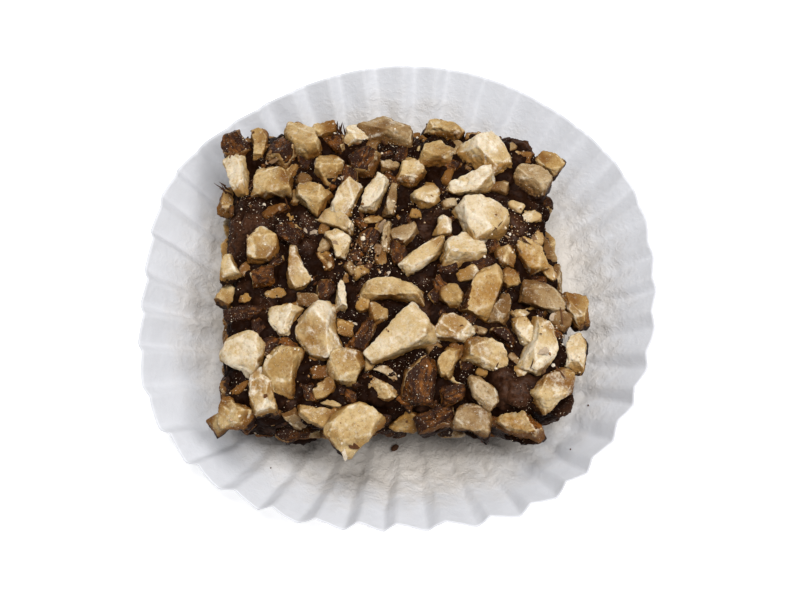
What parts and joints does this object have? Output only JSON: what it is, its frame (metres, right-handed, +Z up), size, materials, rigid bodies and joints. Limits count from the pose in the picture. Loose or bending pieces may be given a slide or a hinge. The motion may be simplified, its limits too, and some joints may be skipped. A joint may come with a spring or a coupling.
{
  "type": "almond buttercrunch sweet in a paper case",
  "caption": "Chocolate-coated slab of almond buttercrunch, rough with chopped almonds, resting in a fluted white paper sweet case",
  "frame": {"origin": "middle of the paper case's flat base, on the surface it stands on", "axes": "+Z is up, -Y is the front edge of the sweet, +X is its right"},
  "size_m": [0.0615, 0.0619, 0.014],
  "materials": {
    "paper": "matt white greaseproof paper",
    "chocolate": "satin chocolate with cream and tan chopped almonds"
  },
  "bodies": {
    "root": {"paper_case": "paper", "buttercrunch": "chocolate"}
  },
  "joints": []
}
